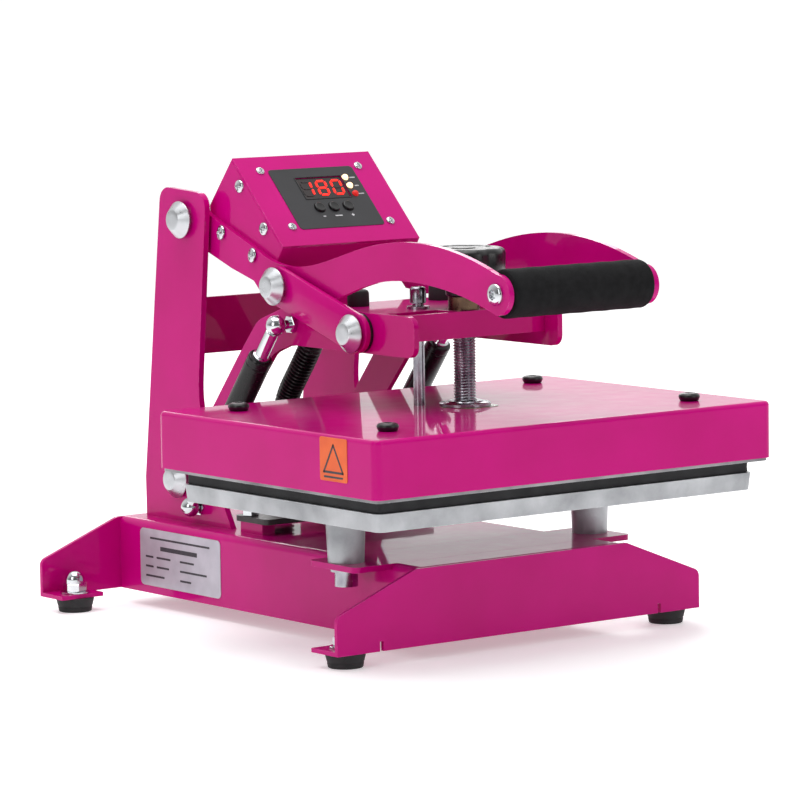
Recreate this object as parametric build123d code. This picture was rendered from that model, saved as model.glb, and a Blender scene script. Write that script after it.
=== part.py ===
from build123d import *
import math
import os

os.makedirs("parts", exist_ok=True)

# Millimetres: x across, y back from the front of the heat cover, z up from the floor
Y_MID = 210.05

# Pivots and spring balls, as (y, z)
LOWER_PIVOT = (372.3, 94.1)
TOP_PIVOT = (361.9, 284.6)
KNEE = (247.2, 242.6)
TOGGLE = (157.1, 214.8)
BALL_LOW = (348.5, 76.5)
BALL_HIGH = (238.3, 215.8)

# Side plate stack, measured outwards from the middle
INNER_FACE = 61.0
INNER_OUTSIDE = 65.2
OUTER_FACE = 67.9
OUTER_OUTSIDE = 72.4
CLEAR = 0.3
RUNNING = 0.05

# Pivot hardware
SHAFT_R = 8.0
PIN_R = 7.0
SPRING_X = 80.0
TUBE_R = 9.0
ROD_R = 4.0
BALL_R = 4.0
OPEN_SOCKET_R = 5.6

# Base
RAIL_X = 90.8
RAIL_TOP = 63.4
RAIL_BOTTOM = 10.3
SHEET = 2.5
FOOT_PLATE = 3.0
FRONT_Y = 63.5
REAR_Y = 428.3
FOOT_X = 141.6
FOOT_YS = (79.0, 409.8)
BAR_T = 4.0

# Platens
COVER_X = 173.0
COVER_LENGTH = 251.5
COVER_LOW = 122.1
COVER_TOP = 161.6
COVER_SHEET = 1.5
PLATEN_LOW = 119.9
PLATEN_TOP = 132.0
PAD_TOP = 119.6
TABLE_TOP = 111.5
TABLE_LOW = 99.3
TABLE_SCREWS = (108.0, 122.0)
STUDS = ((132.0, 41.0), (131.0, 213.0))

# Pressure screw
SCREW_Y = 126.0
PLATE_LOW = 225.0
PLATE_TOP = 229.0
GUIDES = (20.0, 152.0)

# Lever and its control box
GRIP = (8.3, 249.8)
GRIP_R = 16.5
SLOPE = 85.9
PANEL_T = 1.5
OVERLAY_T = 0.4
BOARD_DEPTH = 8.4
BUTTON_XS = (-10.9, 1.8, 14.4)
BUTTON_UP = 34.0
LAMPS = ((26.2, 61.3), (26.2, 53.3), (27.0, 45.4))
PANEL = Plane(origin=(0, 254.2, 269.4), x_dir=(1, 0, 0), z_dir=(0, -1, 1))
REAR_FACE = Plane(origin=(0, 314.9, 330.2), x_dir=(1, 0, 0), z_dir=(0, 35.3, 29.5))
SWITCH_X = 30.0
INLET_X = -20.0
FITTING_DOWN = 23.0
TRUNNION_R = 1.2

# Cables
CONDUIT_R = 8.75
CONDUIT_Y = 338.0
LEAD_R = 4.0
LEAD_X = 40.0
LEAD_Y = 322.0
GLAND_Y = 266.0


def save(shape, node):
    export_step(Pos(0, -Y_MID, 0) * shape, f"parts/{node}.step")


def block(x0, x1, y0, y1, z0, z1):
    centre = Pos((x0 + x1) / 2, (y0 + y1) / 2, (z0 + z1) / 2)
    return centre * Box(x1 - x0, y1 - y0, z1 - z0)


def upright_cylinder(radius, height):
    return Cylinder(radius, height, align=(Align.CENTER, Align.CENTER, Align.MIN))


def rod_x(point, radius, x0, x1):
    return Pos(x0, point[0], point[1]) * Rot(0, 90, 0) * upright_cylinder(radius, x1 - x0)


def rod_y(x, z, radius, y0, y1):
    return Pos(x, y0, z) * Rot(-90, 0, 0) * upright_cylinder(radius, y1 - y0)


def rod_z(x, y, radius, z0, z1):
    return Pos(x, y, z0) * upright_cylinder(radius, z1 - z0)


def pair(shape):
    return shape + mirror(shape, about=Plane.YZ)


def outline(points, radii):
    return make_face(FilletPolyline(*points, radius=radii, close=True))


def side_plate(sketch, x0, x1):
    return extrude(Plane.YZ.offset(x0) * sketch, amount=x1 - x0)


def cross_plate(sketch, y0, y1):
    return extrude(Plane.XZ.offset(-y0) * sketch, amount=y0 - y1)


def disc(point, radius):
    return Pos(point[0], point[1]) * Circle(radius)


def turned_cap(point, x0):
    neck = rod_x(point, 10, x0, 75.5)
    rim = rod_x(point, 13.5, 75.5, 76.5)
    cone = Cone(13.5, 7.5, 6, align=(Align.CENTER, Align.CENTER, Align.MIN))
    return neck + rim + Pos(76.5, point[0], point[1]) * Rot(0, 90, 0) * cone


# ---- base ----

def rail_section(inset):
    x = RAIL_X - inset
    points = [(-x, RAIL_BOTTOM), (-x, RAIL_TOP - inset), (x, RAIL_TOP - inset), (x, RAIL_BOTTOM)]
    return outline(points, [0, 5 - inset / 2, 5 - inset / 2, 0])


def make_base_channel():
    section = rail_section(0) - rail_section(SHEET)
    rail = cross_plate(section, FRONT_Y + FOOT_PLATE, REAR_Y - FOOT_PLATE)
    rail -= block(-100, 100, 93, 147, RAIL_TOP - BAR_T, RAIL_TOP + 1)
    rail -= rod_z(0, CONDUIT_Y, 11, 50, 70)
    rail -= rod_z(LEAD_X, LEAD_Y, 6.5, 50, 70)
    pedestals = pair(block(64, 75, 266, 293, RAIL_TOP, 71.4))
    return rail + pedestals


def foot_end(y_plate, y_flange):
    points = [(-159.7, 10.3), (-159.7, 37), (-92.7, 63.1), (92.7, 63.1), (159.7, 37), (159.7, 10.3)]
    web = cross_plate(outline(points, [0, 6, 8, 8, 6, 0]), *y_plate)
    web -= pair(block(121, 124, y_plate[0] - 1, y_plate[1] + 1, 10, 17))
    flange = pair(block(124, 159.7, y_flange[0], y_flange[1], RAIL_BOTTOM, RAIL_BOTTOM + FOOT_PLATE))
    return web + flange


def make_foot_plates():
    front = foot_end((FRONT_Y, FRONT_Y + FOOT_PLATE), (FRONT_Y + FOOT_PLATE, 93))
    rear = foot_end((REAR_Y - FOOT_PLATE, REAR_Y), (399, REAR_Y - FOOT_PLATE))
    plates = front + rear
    for y in FOOT_YS:
        plates -= pair(rod_z(FOOT_X, y, 4, 5, 20))
    return plates


def make_rubber_feet():
    feet = []
    for y in FOOT_YS:
        foot = Pos(FOOT_X, y, 0) * Cone(12, 14, 10.3, align=(Align.CENTER, Align.CENTER, Align.MIN))
        foot -= rod_z(FOOT_X, y, 4, 4, 12)
        feet += [foot, mirror(foot, about=Plane.YZ)]
    return Compound(children=feet)


def acorn_nut(x, y, z):
    hexagon = extrude(Pos(x, y, z) * RegularPolygon(8.5, 6), amount=6)
    dome = rod_z(x, y, 6.8, z + 6, z + 9)
    crown = Pos(x, y, z + 9) * Sphere(6.8, arc_size1=0)
    return hexagon + dome + crown


def make_chrome_nuts():
    nuts = []
    for y in FOOT_YS:
        nut = acorn_nut(FOOT_X, y, RAIL_BOTTOM + FOOT_PLATE) + rod_z(FOOT_X, y, 4, 4, 14)
        nuts += [nut, mirror(nut, about=Plane.YZ)]
    rest = extrude(Pos(69.5, 288, 75.4) * RegularPolygon(6.5, 6), amount=5)
    nuts += [rest, mirror(rest, about=Plane.YZ)]
    return Compound(children=nuts)


def make_upright_frame():
    front = [(308, RAIL_TOP), (317, 79), (347.5, 152), (333, 304.3)]
    rear = [(390.5, 308), (417, 92), (416.5, RAIL_TOP)]
    plate = side_plate(outline(front + rear, [0, 20, 70, 11, 11, 12, 0]), OUTER_FACE, OUTER_OUTSIDE)
    plate -= rod_x(LOWER_PIVOT, SHAFT_R, 60, 80)
    plate -= rod_x(TOP_PIVOT, SHAFT_R, 60, 80)
    brace = block(-OUTER_FACE, OUTER_FACE, 388, 391, 183, 224.5)
    return pair(plate) + brace


def make_front_table_bar():
    bar = block(-122, 122, 93, 147, RAIL_TOP - BAR_T, RAIL_TOP)
    bar = fillet(bar.edges().filter_by(Axis.Z), 5)
    return bar - pair(rod_z(*TABLE_SCREWS, 5, 50, 70))


def make_rear_rest_bar():
    bar = block(-76, 76, 259, 299, 71.4, 75.4)
    return fillet(bar.edges().filter_by(Axis.Z), 4)


def make_lower_table():
    top = Pos(0, 122.9, TABLE_TOP) * RectangleRounded(329, 226.6, 7)
    table = extrude(top, amount=TABLE_LOW - TABLE_TOP, taper=7)
    boss = Cone(12.5, 14, TABLE_LOW - RAIL_TOP, align=(Align.CENTER, Align.CENTER, Align.MIN))
    table += pair(Pos(*TABLE_SCREWS, RAIL_TOP) * boss)
    return table - pair(rod_z(*TABLE_SCREWS, 5, 60, 86))


def make_table_pad():
    return extrude(Pos(0, 122.9, TABLE_TOP) * RectangleRounded(325, 222.6, 5), amount=PAD_TOP - TABLE_TOP)


def make_table_screws():
    head = rod_z(*TABLE_SCREWS, 8, 46.8, 57.1)
    head -= extrude(Pos(*TABLE_SCREWS, 46.8) * RegularPolygon(4.6, 6), amount=5)
    washer = rod_z(*TABLE_SCREWS, 11, 57.1, RAIL_TOP - BAR_T)
    shank = rod_z(*TABLE_SCREWS, 5, RAIL_TOP - BAR_T, 85)
    return pair(head + washer + shank)


def make_rating_plate():
    sketch = Pos(347, 37) * RectangleRounded(102, 42, 4)
    return side_plate(sketch, -RAIL_X - 0.6, -RAIL_X)


def make_pivot_shafts():
    lower = rod_x(LOWER_PIVOT, SHAFT_R, -OUTER_OUTSIDE, OUTER_OUTSIDE)
    top = rod_x(TOP_PIVOT, SHAFT_R, -OUTER_OUTSIDE, OUTER_OUTSIDE)
    return Compound(children=[lower, top])


def make_pivot_caps():
    lower = turned_cap(LOWER_PIVOT, OUTER_OUTSIDE)
    top = turned_cap(TOP_PIVOT, OUTER_OUTSIDE)
    return Compound(children=[lower, top, mirror(lower, about=Plane.YZ), mirror(top, about=Plane.YZ)])


def make_pivot_spacers():
    rings = []
    for point in (LOWER_PIVOT, TOP_PIVOT):
        ring = rod_x(point, 13, INNER_OUTSIDE + CLEAR, OUTER_FACE) - rod_x(point, SHAFT_R, 60, 70)
        rings += [ring, mirror(ring, about=Plane.YZ)]
    return Compound(children=rings)


def make_lower_ball_studs():
    base = rod_x(BALL_LOW, 5.5, OUTER_OUTSIDE, 73.6)
    neck = rod_x(BALL_LOW, 2, 73.6, SPRING_X)
    return pair(base + neck + Pos(SPRING_X, *BALL_LOW) * Sphere(BALL_R))


def make_cable_grommets():
    big = rod_z(0, CONDUIT_Y, 13.5, RAIL_TOP, 67) + rod_z(0, CONDUIT_Y, 11, 59, RAIL_TOP)
    big -= rod_z(0, CONDUIT_Y, CONDUIT_R + 0.4, 50, 80)
    small = rod_z(LEAD_X, LEAD_Y, 8.5, RAIL_TOP, 66.4) + rod_z(LEAD_X, LEAD_Y, 6.5, 59, RAIL_TOP)
    small -= rod_z(LEAD_X, LEAD_Y, LEAD_R, 50, 80)
    return Compound(children=[big, small])


# ---- carrier ----

def make_carrier_arms():
    hump = [(98, 229), (205, 229), (252, 226), (281, 216), (306, 188.5), (338, 150.6), (384, 106.5)]
    belly = [LOWER_PIVOT, (359.5, 83), (295.3, 156.6), (261.9, 193.7), (242, 200.8), (98, 200.8)]
    arm = outline(hump + belly, [8, 40, 30, 25, 20, 30, 0, 0, 0, 40, 15, 15, 8])
    plate = side_plate(arm + disc(LOWER_PIVOT, 17), INNER_FACE, INNER_OUTSIDE)
    plate -= rod_x(LOWER_PIVOT, SHAFT_R + RUNNING, 60, 70)
    plate -= rod_x(TOGGLE, PIN_R, 60, 70)
    return pair(plate)


def make_carrier_front_plate():
    return block(-INNER_FACE, INNER_FACE, 112.2, 116.2, 210.5, PLATE_TOP)


def make_carrier_top_plate():
    plate = block(-INNER_FACE, INNER_FACE, 135, 222, PLATE_LOW, PLATE_TOP)
    plate += block(-16, 16, 116.2, 135, PLATE_LOW, PLATE_TOP)
    plate -= rod_z(0, SCREW_Y, 9.5, 220, 235)
    return plate - pair(rod_z(*GUIDES, 6.5, 220, 235))


def make_pressure_nut():
    nut = rod_z(0, SCREW_Y, 9.5, 212, PLATE_TOP) + rod_z(0, SCREW_Y, 11, PLATE_TOP, 238)
    return nut - rod_z(0, SCREW_Y, SHAFT_R + RUNNING, 200, 240)


def make_guide_bushes():
    bush = rod_z(*GUIDES, 6.5, 219, PLATE_TOP) + rod_z(*GUIDES, 8, PLATE_TOP, 231)
    return pair(bush - rod_z(*GUIDES, 4 + RUNNING, 210, 240))


def make_rubber_stops():
    return pair(rod_z(36, 200, 7.8, PLATE_TOP, 240.5))


def make_upper_ball_studs():
    base = rod_x(BALL_HIGH, 5, INNER_OUTSIDE, 67.5)
    neck = rod_x(BALL_HIGH, 2, 67.5, SPRING_X)
    return pair(base + neck + Pos(SPRING_X, *BALL_HIGH) * Sphere(BALL_R))


def make_toggle_pins():
    pin = rod_x(TOGGLE, PIN_R, INNER_FACE, OUTER_OUTSIDE + CLEAR)
    shoulder = rod_x(TOGGLE, 11, INNER_OUTSIDE, OUTER_FACE - CLEAR)
    return pair(pin + shoulder + turned_cap(TOGGLE, OUTER_OUTSIDE + CLEAR))


# ---- links ----

def make_toggle_link():
    middle = Pos((KNEE[0] + TOGGLE[0]) / 2, (KNEE[1] + TOGGLE[1]) / 2)
    angle = math.degrees(math.atan2(KNEE[1] - TOGGLE[1], KNEE[0] - TOGGLE[0]))
    body = middle * Rot(0, 0, angle) * SlotCenterToCenter(math.dist(KNEE, TOGGLE), 28)
    link = side_plate(body, OUTER_FACE, OUTER_OUTSIDE)
    link -= rod_x(TOGGLE, PIN_R + RUNNING, 60, 80)
    return link - rod_x(KNEE, PIN_R, 60, 80)


def make_knee_pin():
    pin = rod_x(KNEE, PIN_R, OUTER_FACE, OUTER_OUTSIDE)
    washer = rod_x(KNEE, 11, INNER_OUTSIDE + CLEAR, OUTER_FACE)
    return pin + washer + turned_cap(KNEE, OUTER_OUTSIDE)


# ---- gas springs ----

SPRING_LENGTH = math.dist(BALL_LOW, BALL_HIGH)
SPRING_LEAN = math.degrees(math.atan2(BALL_LOW[0] - BALL_HIGH[0], BALL_HIGH[1] - BALL_LOW[1]))
SPRING = Pos(SPRING_X, *BALL_LOW) * Rot(SPRING_LEAN, 0, 0)
TUBE_START = 63.0
PISTON_AT = 88.0


def make_gas_rod():
    rod = SPRING * rod_z(0, 0, ROD_R, 5, PISTON_AT + 4)
    nut = SPRING * rod_z(0, 0, 5.2, 5, 15)
    piston = SPRING * rod_z(0, 0, 7.45, PISTON_AT, PISTON_AT + 6)
    eye = Pos(SPRING_X, *BALL_LOW) * Sphere(7)
    eye -= Pos(SPRING_X, *BALL_LOW) * Sphere(BALL_R + RUNNING)
    eye -= rod_x(BALL_LOW, 2.8, 70, SPRING_X)
    body = eye + nut + rod + piston
    return body - Pos(SPRING_X, *BALL_LOW) * Sphere(BALL_R + RUNNING)


def make_gas_tube():
    tube = SPRING * rod_z(0, 0, TUBE_R, TUBE_START, SPRING_LENGTH - 28)
    neck = SPRING * rod_z(0, 0, 5, SPRING_LENGTH - 28, SPRING_LENGTH)
    socket = Pos(SPRING_X, *BALL_HIGH) * Sphere(7.2)
    body = tube + neck + socket
    body -= SPRING * rod_z(0, 0, ROD_R + RUNNING, TUBE_START - 1, 90)
    body -= SPRING * rod_z(0, 0, 7.5, TUBE_START + 6, SPRING_LENGTH - 38)
    body -= Pos(SPRING_X, *BALL_HIGH) * Sphere(OPEN_SOCKET_R)
    return body - rod_x(BALL_HIGH, 4, 70, SPRING_X)


# ---- platen ----

def make_platen_cover():
    outer = extrude(Pos(0, COVER_LENGTH / 2, COVER_LOW) * RectangleRounded(2 * COVER_X, COVER_LENGTH, 6),
                    amount=COVER_TOP - COVER_LOW)
    outer = fillet(outer.faces().sort_by(Axis.Z)[-1].edges(), 3)
    inner = Pos(0, COVER_LENGTH / 2, COVER_LOW) * RectangleRounded(2 * COVER_X - 3, COVER_LENGTH - 3, 4.5)
    cover = outer - extrude(inner, amount=COVER_TOP - COVER_LOW - COVER_SHEET)
    for x, y in STUDS:
        cover -= pair(rod_z(x, y, 3.2, 150, 170))
    return cover - rod_y(LEAD_X, 140, 6, 240, 260)


def make_heat_platen():
    return extrude(Pos(0, COVER_LENGTH / 2, PLATEN_LOW) * RectangleRounded(342, 247.5, 4),
                   amount=PLATEN_TOP - PLATEN_LOW)


def make_heating_element():
    path = FilletPolyline((-90, 225, 136), (-90, 30, 136), (90, 30, 136), (90, 225, 136), radius=40)
    return sweep(Plane(path @ 0, z_dir=path % 0) * Circle(4), path=path)


def make_insulation_board():
    board = extrude(Pos(0, COVER_LENGTH / 2, 140) * RectangleRounded(336, 240, 4), amount=10)
    for x, y in STUDS:
        board -= pair(rod_z(x, y, 3.2, 130, 160))
    return board - block(28, 52, 235, 250, 130, 160)


def make_guide_pins():
    pin = rod_z(*GUIDES, 4, COVER_TOP, 234)
    head = rod_z(*GUIDES, 5.8, 233, 244.3)
    socket = extrude(Pos(*GUIDES, 240) * RegularPolygon(3, 6), amount=5)
    return pair(pin + head - socket)


def make_cover_nuts():
    nuts = []
    for x, y in STUDS:
        nut = rod_z(x, y, 7.5, COVER_TOP, COVER_TOP + 5.5) + rod_z(x, y, 3, PLATEN_TOP, COVER_TOP)
        nuts += [nut, mirror(nut, about=Plane.YZ)]
    return Compound(children=nuts)


def make_platen_gland():
    neck = rod_y(LEAD_X, 140, 6, 246, GLAND_Y)
    collar = rod_y(LEAD_X, 140, 9, COVER_LENGTH, 255)
    drop = rod_z(LEAD_X, GLAND_Y, 7, 120, 140)
    body = neck + collar + drop + Pos(LEAD_X, GLAND_Y, 140) * Sphere(7)
    return body - rod_z(LEAD_X, GLAND_Y, LEAD_R + 0.5, 119, 140)


def make_heat_label():
    sketch = Pos(46, 145.5) * RectangleRounded(30, 29, 2)
    return side_plate(sketch, -COVER_X - 0.6, -COVER_X)


def make_swivel_flange():
    flange = rod_z(0, SCREW_Y, 18, COVER_TOP, 165.6)
    return flange - rod_z(0, SCREW_Y, 6 + RUNNING, COVER_TOP, 170)


def make_pressure_screw():
    thread = rod_z(0, SCREW_Y, SHAFT_R, 165.6 + CLEAR, 250)
    return thread + rod_z(0, SCREW_Y, 6, 162, 166)


def make_pressure_knob():
    hub = rod_z(0, SCREW_Y, 13, 238.4, 252)
    star = Circle(25) + PolarLocations(22, 7) * Circle(8.5)
    knob = extrude(Pos(0, SCREW_Y, 252) * star, amount=20)
    return hub + knob - rod_z(0, SCREW_Y, SHAFT_R, 230, 250)


# ---- lever ----

def lever_outline():
    top = Spline((8, 263), (45, 274), (98, 280), (155, 273.5), (215, 258.5), (236, 256.4), (279, 265.7))
    low = Spline((8, 235.6), (35, 244), (79, 251.6), (118, 252.8), (152, 247.5), (186, 236.8), (230, 232))
    nose = ThreePointArc((8, 263), (-5.8, 249.3), (8, 235.6))
    rear = Polyline((230, 232), (247, 229.4), (272, 232), (285, 244), (312, 251.5), (366, 270.2))
    shoulder = Polyline((366, 270.2), (357, 298.8), (335, 287), (279, 265.7))
    return make_face([top, nose, low, rear, shoulder])


def make_lever_plates():
    shape = lever_outline() + disc(TOP_PIVOT, 15) + disc(KNEE, 13.4)
    plate = side_plate(shape, INNER_FACE, INNER_OUTSIDE)
    plate -= rod_x(TOP_PIVOT, SHAFT_R + RUNNING, 60, 70)
    plate -= rod_x(GRIP, 4.2, 60, 70)
    return pair(plate)


def make_grip_tube():
    tube = rod_x(GRIP, 11, -INNER_FACE, INNER_FACE)
    return tube - rod_x(GRIP, 4, -70, -40) - rod_x(GRIP, 4, 40, 70)


def make_foam_grip():
    return rod_x(GRIP, GRIP_R, -60, 60) - rod_x(GRIP, 11, -70, 70)


def make_lever_screws():
    grip = rod_x(GRIP, 4, 44, INNER_OUTSIDE) + rod_x(GRIP, 7.5, INNER_OUTSIDE, 69)
    screws = [grip]
    for point in ((324.2, 276.5), (286.1, 262.1)):
        screws.append(rod_x(point, 5.5, INNER_OUTSIDE, OUTER_FACE - CLEAR))
    for point in ((305.8, 310.2), (276.9, 281.0)):
        screws.append(rod_x(point, 4.5, INNER_FACE, 63.4))
    for up in (17.8, 72.0):
        screws.append(PANEL * (Pos(43.8, up, 0) * upright_cylinder(3.2, 1.8)))
    return Compound(children=screws + [mirror(screw, about=Plane.YZ) for screw in screws])


def make_control_box_shell():
    points = [(254.2, 269.4), (314.9, 330.2), (344.4, 294.9), (339, 264), (283, 241), (270, 247)]
    side = make_face(Polyline(*points, close=True))
    shell = side_plate(side, -INNER_FACE, INNER_FACE)
    shell -= side_plate(offset(side, -1.5, kind=Kind.INTERSECTION), -INNER_FACE + 1.5, INNER_FACE - 1.5)
    shell -= PANEL * (Pos(0, SLOPE / 2, 5 - PANEL_T) * Box(130, 100, 10))
    shell -= REAR_FACE * (Pos(SWITCH_X, FITTING_DOWN, 0) * Box(18, 24, 12))
    shell -= REAR_FACE * (Pos(INLET_X, FITTING_DOWN, 0) * Box(28, 20, 12))
    return shell - rod_z(0, 305, CONDUIT_R, 240, 258)


def make_control_panel():
    panel = PANEL * (Pos(0, SLOPE / 2, -PANEL_T / 2) * Box(2 * INNER_FACE, SLOPE, PANEL_T))
    return panel - panel_cuts()


def panel_cuts():
    window = Pos(2.25, 53, 0) * Box(40.5, 20.4, 6)
    cuts = window
    for x, up in LAMPS:
        cuts += Pos(x, up, -3) * upright_cylinder(2.6, 6)
    for x in BUTTON_XS:
        cuts += Pos(x, BUTTON_UP, -3) * upright_cylinder(4.6, 6)
    return PANEL * cuts


def make_panel_overlay():
    overlay = PANEL * extrude(Pos(0, 43.5) * RectangleRounded(75.2, 57.5, 3), amount=OVERLAY_T)
    return overlay - panel_cuts()


def make_circuit_board():
    board = Pos(0, 43, -BOARD_DEPTH - 0.8) * Box(100, 68, 1.6)
    for x in BUTTON_XS:
        board += Pos(x, BUTTON_UP, -BOARD_DEPTH + 0.25) * Box(6, 6, 0.5)
    return PANEL * board


def make_display_module():
    depth = BOARD_DEPTH - 0.2
    return PANEL * (Pos(2.25, 53, -BOARD_DEPTH + depth / 2) * Box(39.6, 19.6, depth))


def make_indicator_lamps():
    lamps = [PANEL * lamp(x, up) for x, up in LAMPS]
    return Compound(children=lamps)


def lamp(x, up):
    return Pos(x, up, -BOARD_DEPTH) * upright_cylinder(2.5, BOARD_DEPTH + 1)


def make_button(x):
    cap = Pos(x, BUTTON_UP, -PANEL_T - CLEAR) * upright_cylinder(4.2, PANEL_T + CLEAR + 2)
    flange = Pos(x, BUTTON_UP, -4) * upright_cylinder(5.6, 4 - PANEL_T - CLEAR)
    stem = Pos(x, BUTTON_UP, -6.4) * upright_cylinder(1.8, 3)
    return PANEL * (cap + flange + stem)


def make_mains_inlet():
    socket = Pos(INLET_X, FITTING_DOWN, -8) * Box(28, 20, 16)
    socket += Pos(INLET_X, FITTING_DOWN, 1) * Box(32, 24, 2)
    socket -= Pos(INLET_X, FITTING_DOWN, -5) * Box(24, 16, 16)
    for x, up in ((0, 3), (-7, -2), (7, -2)):
        socket += Pos(INLET_X + x, FITTING_DOWN + up, -8) * Box(2, 4, 12)
    bezel = Pos(SWITCH_X, FITTING_DOWN, -5) * Box(18, 24, 10)
    bezel += Pos(SWITCH_X, FITTING_DOWN, 0.75) * Box(21, 27, 1.5)
    bezel -= Pos(SWITCH_X, FITTING_DOWN, -3) * Box(14, 20.4, 12)
    bezel -= Pos(SWITCH_X, FITTING_DOWN, 0) * Rot(0, 90, 0) * Cylinder(TRUNNION_R + RUNNING, 16.4)
    return REAR_FACE * Compound(children=[socket, bezel])


def make_power_switch():
    points = [(-8.6, -4), (8.6, -4), (8.6, 1.2), (0, 3), (-8.6, 3.8)]
    rocker = extrude(Plane.YZ.offset(-6.5) * make_face(Polyline(*points, close=True)), amount=13)
    rocker += Rot(0, 90, 0) * Cylinder(TRUNNION_R, 15.8)
    return REAR_FACE * (Pos(SWITCH_X, FITTING_DOWN, 0) * rocker)


# ---- cables ----

def make_control_conduit():
    path = Spline((0, 338, 56), (0, 338, 110), (0, 329, 155), (0, 312, 186), (0, 305, 225), (0, 305, 258),
                  tangents=[(0, 0, 1), (0, 0, 1)])
    return sweep(Plane((0, 338, 56), z_dir=(0, 0, 1)) * Circle(CONDUIT_R), path=path)


def make_heater_lead():
    corners = [(LEAD_X, GLAND_Y, 134), (LEAD_X, GLAND_Y, 104), (LEAD_X, LEAD_Y, 92), (LEAD_X, LEAD_Y, 56)]
    path = FilletPolyline(*corners, radius=14)
    return sweep(Plane((LEAD_X, GLAND_Y, 134), z_dir=(0, 0, -1)) * Circle(LEAD_R), path=path)


save(make_base_channel(), "base_channel")
save(make_foot_plates(), "foot_plates")
save(make_rubber_feet(), "rubber_feet")
save(make_chrome_nuts(), "chrome_nuts")
save(make_upright_frame(), "upright_frame")
save(make_front_table_bar(), "front_table_bar")
save(make_rear_rest_bar(), "rear_rest_bar")
save(make_lower_table(), "lower_table")
save(make_table_pad(), "table_pad")
save(make_table_screws(), "table_screws")
save(make_rating_plate(), "rating_plate")
save(make_pivot_shafts(), "pivot_shafts")
save(make_pivot_caps(), "pivot_caps")
save(make_pivot_spacers(), "pivot_spacers")
save(make_lower_ball_studs(), "lower_ball_studs")
save(make_cable_grommets(), "cable_grommets")

save(make_carrier_arms(), "carrier_arms")
save(make_carrier_front_plate(), "carrier_front_plate")
save(make_carrier_top_plate(), "carrier_top_plate")
save(make_pressure_nut(), "pressure_nut")
save(make_guide_bushes(), "guide_bushes")
save(make_rubber_stops(), "rubber_stops")
save(make_upper_ball_studs(), "upper_ball_studs")
save(make_toggle_pins(), "toggle_pins")

right_link = make_toggle_link()
right_knee = make_knee_pin()
right_rod = make_gas_rod()
right_tube = make_gas_tube()
save(right_link, "right_toggle_link")
save(right_knee, "right_knee_pin")
save(right_rod, "right_gas_rod")
save(right_tube, "right_gas_tube")
save(mirror(right_link, about=Plane.YZ), "left_toggle_link")
save(mirror(right_knee, about=Plane.YZ), "left_knee_pin")
save(mirror(right_rod, about=Plane.YZ), "left_gas_rod")
save(mirror(right_tube, about=Plane.YZ), "left_gas_tube")

save(make_platen_cover(), "platen_cover")
save(make_heat_platen(), "heat_platen")
save(make_heating_element(), "heating_element")
save(make_insulation_board(), "insulation_board")
save(make_guide_pins(), "guide_pins")
save(make_cover_nuts(), "cover_nuts")
save(make_platen_gland(), "platen_gland")
save(make_heat_label(), "heat_label")
save(make_swivel_flange(), "swivel_flange")
save(make_pressure_screw(), "pressure_screw")
save(make_pressure_knob(), "pressure_knob")

save(make_lever_plates(), "lever_plates")
save(make_grip_tube(), "grip_tube")
save(make_foam_grip(), "foam_grip")
save(make_lever_screws(), "lever_screws")
save(make_control_box_shell(), "control_box_shell")
save(make_control_panel(), "control_panel")
save(make_panel_overlay(), "panel_overlay")
save(make_circuit_board(), "circuit_board")
save(make_display_module(), "display_module")
save(make_indicator_lamps(), "indicator_lamps")
save(make_mains_inlet(), "mains_inlet")
save(make_power_switch(), "power_switch")
save(make_button(BUTTON_XS[0]), "left_button")
save(make_button(BUTTON_XS[1]), "middle_button")
save(make_button(BUTTON_XS[2]), "right_button")

save(make_control_conduit(), "control_conduit")
save(make_heater_lead(), "heater_lead")
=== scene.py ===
import math
import random

import bmesh
import bpy
from mathutils import Matrix, Vector


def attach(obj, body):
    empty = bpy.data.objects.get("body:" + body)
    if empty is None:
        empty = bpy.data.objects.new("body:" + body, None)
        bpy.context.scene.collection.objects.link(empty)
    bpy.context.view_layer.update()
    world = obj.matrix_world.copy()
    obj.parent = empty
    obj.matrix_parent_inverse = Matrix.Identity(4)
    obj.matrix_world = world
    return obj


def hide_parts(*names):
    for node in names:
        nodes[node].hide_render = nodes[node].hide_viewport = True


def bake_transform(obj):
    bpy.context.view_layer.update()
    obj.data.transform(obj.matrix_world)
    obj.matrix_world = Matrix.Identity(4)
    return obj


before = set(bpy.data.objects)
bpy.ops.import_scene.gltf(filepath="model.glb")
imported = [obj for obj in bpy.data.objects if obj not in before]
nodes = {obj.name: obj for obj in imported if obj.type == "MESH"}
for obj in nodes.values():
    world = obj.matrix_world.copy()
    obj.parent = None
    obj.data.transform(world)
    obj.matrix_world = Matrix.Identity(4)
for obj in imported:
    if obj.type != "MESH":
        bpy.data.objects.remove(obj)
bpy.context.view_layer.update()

random.seed(7)

# Distances are in millimetres as in the CAD: x across, y back from the cover's front, z up.
Y_MID = 210.05
LOWER_PIVOT = (372.3, 94.1)
TOP_PIVOT = (361.9, 284.6)
KNEE = (247.2, 242.6)
TOGGLE = (157.1, 214.8)
BALL_LOW = (348.5, 76.5)
BALL_HIGH = (238.3, 215.8)
GRIP = (8.3, 249.8)
SCREW_Y = 126.0
COVER_TOP = 161.6
GUIDE = (20, 152)
COVER_NUTS = ((132, 41), (131, 213))
SCREW_LOW = 166
SCREW_HIGH = 238
SCREW_RADIUS = 8.0
THREAD_DEPTH = 1.25
THREAD_PITCH = 2.0
OUTER = 72.4
ARM_FACE = 65.2
BOX_FACE = 61.0
SPRING_X = 80.0
LINK_RADIUS = 14
FOOT_X = 141.6
FOOT_ROWS = (79.0, 409.8)
KEY_PLACES = {"left": -10.9, "middle": 1.8, "right": 14.4}
GRIP_HALF = 60
GRIP_RADIUS = 16.5
PAD_SIZE = (325, 222.6)
PAD_Y = 122.9
PAD_LOW = 111.5


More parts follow.
